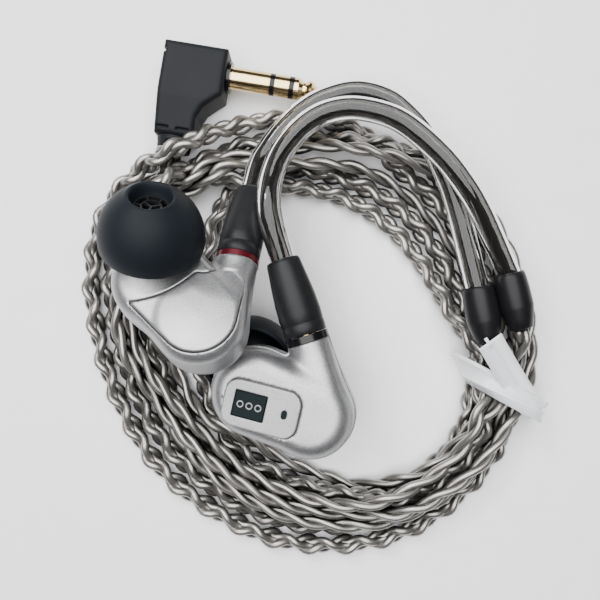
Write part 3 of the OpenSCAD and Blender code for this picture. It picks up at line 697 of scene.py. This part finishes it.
def outer_half(x, y, z):
    """The hollow shell away from the ear, with the badge's seat."""
    f = smax(pebble(x, y, z, SLIM), z + 0.01, 0.06)
    f = np.maximum(f, -np.maximum(pebble(x, y, z, WALL), -Z_OUT + 1.15 - z))
    f = np.maximum(f, -neck_bore(x, y, z))
    return smax(f, -np.maximum(badge_plan(x, y, 0.04)[0], z + Z_OUT - 0.3), 0.05)


def nozzle_space(x, y, z):
    """The nozzle's own frame, in which it points along z."""
    p = np.stack([x - NOZZLE[0], y - NOZZLE[1], z - NOZZLE[2]], -1) @ NOZZLE_TURN
    return p[..., 0], p[..., 1], p[..., 2]


def ramp(x, y, z):
    """The cone on which the nozzle rises out of the shell."""
    nx, ny, nz = nozzle_space(x, y, z)
    cone = (np.hypot(nx, ny) - 3.45 + 0.75 * (nz + 0.5)) * 0.8
    cone = smax(cone, np.hypot(x - LOBE_A[0], y - LOBE_A[1]) - A_R + 0.1, 0.8)
    return smax(cone, nz + 0.35, 0.25)


def inner_half(x, y, z):
    """The hollow shell on the ear side, with the nozzle's ramp and hole and the panel's seat."""
    f = smin(pebble(x, y, z), ramp(x, y, z), 1.6)
    f = smax(f, -z + 0.01, 0.06)
    f = np.maximum(f, -np.maximum(pebble(x, y, z, WALL), z - Z_IN + 1.35))
    f = np.maximum(f, -neck_bore(x, y, z))
    nx, ny, nz = nozzle_space(x, y, z)
    f = np.maximum(f, -np.maximum(np.hypot(nx, ny) - NOZZLE_BORE_R, -6 - nz))
    return smax(f, -np.maximum(panel_plan(x, y, -0.12), Z_IN - PANEL_DEEP - z), 0.2)


def panel_solid(x, y, z):
    """The lid, whose outside is the pebble's own."""
    return np.maximum(smax(panel_plan(x, y, 0.02), pebble(x, y, z), 0.2), Z_IN - 0.93 - z)


def badge_solid(x, y, z):
    """The plate on the outer shell, with the tile's seat and the little slot."""
    plan, u, v = badge_plan(x, y, 0)
    f = smax(plan, -Z_OUT - BADGE_UP - z, 0.22)
    f = np.maximum(f, z + Z_OUT - 0.28)
    tile = np.maximum(np.maximum(np.abs(u - TILE_AT) - 2.33, np.abs(v) - 1.88), z + Z_OUT - 0.02)
    slot = np.hypot(u - SLOT_AT, np.maximum(np.abs(v) - 0.25, 0)) - 0.38
    return smax(smax(f, -tile, 0.05), -slot, 0.06)


def sided(quads, side):
    """The left earpiece is a mirror image, so its faces turn the other way round."""
    return quads if side == "right" else quads[:, ::-1]


# the field, two corners of the box to search, the cell and the looks
SHAPES = {
    "shell_outer": (outer_half, (-17.2, -17.2, -5.2), (4.2, 2.8, 0.6), 0.3, SILVER, "shell_silver"),
    "shell_inner": (inner_half, (-17.2, -17.2, -0.6), (4.2, 4.2, 6.2), 0.2, SILVER, "shell_silver"),
    "panel": (panel_solid, (-16.4, -16.8, 2.9), (4.0, -1.6, 5.3), 0.15, SILVER, "shell_silver"),
    "badge": (badge_solid, (-15.6, -13.4, -5.4), (-1.6, -0.4, -3.8), 0.14, BADGE, "badge_silver"),
}
for name, (field, low, high, cell, look, slot) in SHAPES.items():
    points, quads = surface(field, low, high, cell)
    for side in ("right", "left"):
        piece = make(f"{name}_{side}_skin", at_ear(points, side), sided(quads, side), look,
                     "earpiece_" + side)
        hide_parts(f"{name}_{side}")


def ring_of(radius, thick, sides=28):
    """A flattened ring that lies round z."""
    a = np.linspace(0, 2 * np.pi, 9)[:-1]
    return lathe(np.stack([radius + thick * np.cos(a), 0.6 * thick * np.sin(a)], 1), sides)


def badge_tile():
    """The tile, the dark floor of the plate's little slot, and from face number `rings` on the rings."""
    x, y, cut = 2.3, 1.85, 0.16
    rim = [(x - cut, y), (-x + cut, y), (-x, y - cut), (-x, -y + cut),
           (-x + cut, -y), (x - cut, -y), (x, -y + cut), (x, y - cut)]
    wall = [(u, v, w) for w in (0.3, 0.0) for u, v in rim]
    top = [(u * 0.94, v * 0.93, -0.08) for u, v in rim]
    points = [np.array(wall + top) + [TILE_AT, 0, 0]]
    faces = [[k + r * 8, (k + 1) % 8 + r * 8, (k + 1) % 8 + r * 8 + 8, k + r * 8 + 8]
             for r in (0, 1) for k in range(8)]
    faces += [list(range(8))[::-1], list(range(16, 24))]
    a = np.linspace(0, 2 * np.pi, 24, endpoint=False)
    points.append(np.stack([SLOT_AT + 0.37 * np.cos(a), 0.37 * np.sin(a) + 0.25 * np.sign(np.sin(a)),
                            np.full(24, 0.12)], 1))
    faces.append(list(range(24, 48)))
    rings, first = len(faces), 48
    for at in (-1.3, 0, 1.3):
        p, q = ring_of(0.42, 0.1)
        points.append(p + [at + TILE_AT, 0, -0.09])
        faces += (q + first).tolist()
        first += len(p)
    c, s = np.cos(np.radians(BADGE_TURN)), np.sin(np.radians(BADGE_TURN))
    u, v, w = np.vstack(points).T
    return np.stack([u * c - v * s + BADGE_AT[0], u * s + v * c + BADGE_AT[1],
                     w - Z_OUT - BADGE_UP], 1), faces, rings


for side in ("right", "left"):
    points, faces, rings = badge_tile()
    tile = make("badge_tile_" + side + "_skin", at_ear(points, side), faces, TILE, "earpiece_" + side,
                smooth=False)
    tile.data.materials.append(BADGE)
    for face in tile.data.polygons[rings:]:
        face.material_index = 1
        face.use_smooth = True
    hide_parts("badge_tile_" + side)


# ---------------------------------------------------------------- ear tips
def tip_profile():
    """Radius and height: up the skirt's inside, over its rim and the dome, and into the mouth."""
    skirt = [[2.95, 1.1], [3.7, 1.1], [3.7, 6.9], [3.9, 7.15], [4.1, 7.2], [5, 6.6], [5.5, 6.05],
             [5.9, 5.4], [6.15, 4.75], [6.35, 4.1], [6.5, 3.3], [6.55, 2.6], [6.52, 1.8], [6.45, 1.2],
             [6.5, 1.0], [6.75, 0.9]]
    rim = [[7.25 - 0.15 * ((2.5 - s) / 1.5) ** 2, s] for s in np.linspace(1.0, 2.5, 8)]
    dome = [[7.25 * math.cos(t), 2.5 + 7.4 * math.sin(t)] for t in np.radians(np.linspace(3, 60, 26))]
    mouth = [[3.42, 9.1], [3.2, 9.22], [3.0, 9.2], [2.85, 9.02], [2.7, 8.6], [2.6, 8.1], [2.53, 7.6],
             [2.5, 7.55], [2.5, 6.95], [2.95, 6.95]]
    return skirt + rim + dome + mouth


for side in ("right", "left"):
    points, quads = lathe(tip_profile(), 96)
    points = points @ NOZZLE_TURN.T + NOZZLE
    tip = make("ear_tip_" + side + "_skin", at_ear(points, side), sided(quads[:, ::-1], side), SILICONE,
               "ear_tip_" + side)
    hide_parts("ear_tip_" + side)


# ---------------------------------------------------------------- connector boots
# radius and height: outside from the collar to the hook, back through the bore
BOOT_PROFILE = [[1.3, 0], [3.0, 0], [3.12, 0.12], [3.15, 1.5], [3.07, 1.62], [3.15, 1.75], [3.18, 3.2],
                [3.1, 5.2], [2.92, 7.2], [2.68, 9.2], [2.5, 10.8], [2.36, 11.2], [2.1, BOOT_LEN],
                [1.84, BOOT_LEN], [1.84, 7.2], [1.3, 7.2]]
for side in ("right", "left"):
    points, quads = lathe(BOOT_PROFILE, 64)
    foot = np.array([0, COLLAR[side] + COLLAR_GAP, 0])
    boot = make("boot_" + side + "_skin", at_ear(standing(points, foot, foot + [0, 1.0, 0]), side),
                sided(quads, side), BOOT, "cable")
    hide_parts("boot_" + side)


# ---------------------------------------------------------------- plug body
PLUG_PLAN = np.array([[-10.7, 3.5], [-0.6, 3.5], [-0.6, -3.7], [-1.5, -4.4], [-3.3, -6.1], [-4.1, -7.8],
                      [-4.2, -11.0], [-10.4, -11.0], [-10.75, -4.0]])


def polygon_plan(x, y, corners):
    """Distance to a polygon, negative inside it."""
    d = np.full(x.shape, 1e9)
    odd = np.zeros(x.shape, bool)
    for a, b in zip(corners, np.roll(corners, -1, axis=0)):
        ex, ey = b - a
        t = np.clip(((x - a[0]) * ex + (y - a[1]) * ey) / (ex * ex + ey * ey), 0, 1)
        d = np.minimum(d, np.hypot(x - a[0] - t * ex, y - a[1] - t * ey))
        odd ^= ((a[1] > y) != (b[1] > y)) & (x < a[0] + (y - a[1]) * ex / (ey if ey else 1e-9))
    return np.where(odd, -d, d)


def plug_solid(x, y, z):
    """The L of the plug with its two bores, the slots in its leg and the notch at its elbow."""
    plan = polygon_plan(x, y, PLUG_PLAN)
    top = 3.75 - 0.9 * np.clip((-y - 5) / 6, 0, 1)
    f = smax(plan, np.maximum(z - top, -4.1 - z), 1.0)
    f = np.maximum(f, 1.3 - np.hypot(y, z) - 9 * (x < -5))
    f = np.maximum(f, 1.9 - np.hypot(x + 7.3, z) - 9 * (y > -5))
    for at in (-9.1, -5.9):
        slot = np.maximum(np.maximum(np.abs(x - at) - 1.05, np.abs(y + 10.0) - 0.22), top - 0.5 - z)
        f = np.maximum(f, -slot)
    notch = np.maximum(np.maximum(x + 10.2, np.abs(y - 1.9) - 0.3), 0.5 - z)
    return np.maximum(f, -notch)


points, quads = surface(plug_solid, (-11.4, -11.6, -4.8), (0.2, 4.2, 4.5), 0.24)
plug = make("plug_shell", at_plug(points), quads, PLUG, "cable")
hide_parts("plug_body")


# ---------------------------------------------------------------- tie
FILM_T = 0.16


def ribbon(path, across, width, thick, rib, closed):
    """A flat strip with a round rib; across gives its width's direction at every point."""
    across = unit(np.broadcast_to(np.asarray(across, float), np.shape(path)))
    step = np.roll(path, -1, 0) - np.roll(path, 1, 0) if closed else np.gradient(path, axis=0)
    normal = unit(np.cross(unit(step), across))
    if closed:
        normal *= np.sign((normal * (path - path.mean(0))).sum(1, keepdims=True))
    else:
        normal *= np.sign(normal[:, 2:])
    h = np.broadcast_to(np.asarray(width, float), len(path)) / 2
    # half widths across, millimetres added to them, millimetres out
    section = [(-1, 0, 0), (-1, rib - 0.45, 0), (-1, rib - 0.28, 0.24), (-1, rib, 0.34),
               (-1, rib + 0.28, 0.24), (-1, rib + 0.45, 0), (1, -0.9, 0), (1, -0.7, 0.12), (1, -0.5, 0),
               (1, 0, 0), (1, 0, -thick), (-1, 0, -thick)]
    k = len(section)
    points = np.stack([path + across * (a * h + b)[:, None] + normal * c for a, b, c in section], 1)
    points = points.reshape(-1, 3)
    n = len(path)
    faces = []
    for i in range(n if closed else n - 1):
        for j in range(k):
            a, b = i * k + j, i * k + (j + 1) % k
            faces.append([a, b, (b + k) % (n * k), (a + k) % (n * k)])
    if not closed:
        faces += [list(range(k))[::-1], [(n - 1) * k + j for j in range(k)]]
    return points, faces


def tie():
    """The band round the bundle, wider and slanting towards its left, and the loose end that rises."""
    ring = curve_through([[6.6, 0, 0.5], [7.2, 0, 2.6], [7.0, 0, 5.2], [5.4, 0, 7.7], [2.4, 0, 8.8],
                          [-1, 0, 9.0], [-4.2, 0, 8.3], [-6.4, 0, 6.2], [-7.3, 0, 3.4], [-7.0, 0, 1.3],
                          [-5.5, 0, 0.4], [-1, 0, 0.3], [4.0, 0, 0.3], [6.6, 0, 0.5]], 0.4)[:-1]
    lean = np.clip((7.2 - ring[:, 0]) / 14.4, 0, 1)[:, None]
    across = np.array([0.0, 1.0, 0]) * (1 - lean) + np.array([-0.47, 0.88, 0]) * lean
    width = 3.7 + 2.3 * lean[:, 0]
    ring = ring @ rotation(TIE_TURN, 0, 0).T + [*TIE_AT, 0]
    points, faces = ribbon(ring, across, width, FILM_T, 1.6, True)
    band = make("tie_band", at_row(points), faces, FILM, "cable")
    tail = curve_through([[28.5, -6.2, 12.0], [29.6, -7.8, 11.2], [31.2, -10.1, 10.1], [32.7, -12.2, 9.2],
                          [34.2, -14.3, 8.4], [36.0, -16.4, 7.6], [37.6, -17.6, 6.4]], 0.4)
    across, width, rib = np.array([0.81, 0.59, 0]), 4.1, 1.7
    points, faces = ribbon(tail, across, width, FILM_T, rib, False)
    nub = tail[0] + (rib - width / 2) * across + [0, 0, 0.1]  # the end of the wire, which sticks out
    wire, more, _ = tube(np.array([nub + [-0.5, 0.7, 0.1], nub, nub + [0.5, -0.7, -0.2]]), 0.26, 10)
    faces += [[v + len(points) for v in f] for f in more]
    end = make("tie_tail", at_row(np.vstack([points, wire])), faces, FILM, "cable")
    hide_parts("tie_strap")
    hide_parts("tie_wire")
    return [band, end]


TIE = tie()


for side in ("left", "right"):
    cord, line = CORDS[side]
cord, line = CORDS["main"]


# ---------------------------------------------------------------- floor and light
FLOOR = material("floor", (0.94, 0.94, 0.945), rough=0.6, grain=4.0, vary=0.015)
floor = make("floor", [(-2, -2, 0), (2, -2, 0), (2, 2, 0), (-2, 2, 0)], [[0, 1, 2, 3]], FLOOR, None,
             smooth=False)


def area(name, place, size, power):
    """A round lamp that shines at the middle of the table."""
    light = bpy.data.lights.new(name, "AREA")
    light.shape = "DISK"
    light.size = size
    light.energy = power
    obj = bpy.data.objects.new(name, light)
    bpy.context.scene.collection.objects.link(obj)
    obj.location = place
    obj.rotation_euler = (-Vector(place)).to_track_quat("-Z", "Y").to_euler()


area("sky", (-0.07, 0.09, 0.45), 0.68, 7.5)
area("key", (-0.20, 0.26, 0.34), 0.08, 0.6)
world = bpy.data.worlds.new("world")
world.use_nodes = True
background = world.node_tree.nodes["Background"]
background.inputs["Color"].default_value = (0.93, 0.95, 1.0, 1)
background.inputs["Strength"].default_value = 0.06
bpy.context.scene.world = world
